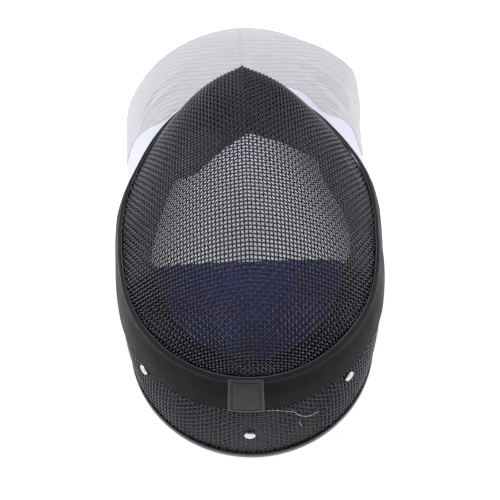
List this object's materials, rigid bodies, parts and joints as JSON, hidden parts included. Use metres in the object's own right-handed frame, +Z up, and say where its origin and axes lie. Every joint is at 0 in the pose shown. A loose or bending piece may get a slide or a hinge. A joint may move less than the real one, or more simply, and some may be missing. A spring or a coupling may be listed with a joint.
{
  "type": "fencing mask",
  "caption": "Fencing mask lying face up: ridged black wire-mesh front, mesh crown wall with a grey rim, black trim band, white bib with ribbed silver cloth, navy forehead pad and black linings.",
  "frame": {"origin": "on the ground under the middle of the mask as it lies face up", "axes": "+Y from the crown to the chin and the bib, +X across, +Z up through the front mesh's ridge"},
  "size_m": [0.2069, 0.3996, 0.1879],
  "materials": {
    "wire": "black paint on woven steel wire, satin",
    "band_vinyl": "black vinyl, fine grain, satin",
    "patch_vinyl": "dark grey vinyl, satin",
    "rim_plastic": "grey edge strip, satin",
    "tape": "black tape, matt",
    "rivet_steel": "plated steel",
    "bib_cloth": "smooth white cloth with a cool tint",
    "lame_cloth": "silver conductive cloth, ribbed",
    "navy_pad": "navy cloth over foam, matt",
    "lining_cloth": "black cloth, matt",
    "tongue_cloth": "black cloth over a sprung strip, matt"
  },
  "bodies": {
    "root": {"front_mesh": "wire", "crown_mesh": "wire", "trim_band": "band_vinyl", "trim_patch": "patch_vinyl", "rim": "rim_plastic", "rim_tape": "tape", "rivet_left": "rivet_steel", "rivet_centre": "rivet_steel", "rivet_right": "rivet_steel", "bib": "bib_cloth", "bib_lame": "lame_cloth", "cheek_lining": "lining_cloth", "crown_lining": "lining_cloth", "forehead_pad": "navy_pad", "tongue": "tongue_cloth"}
  },
  "joints": []
}
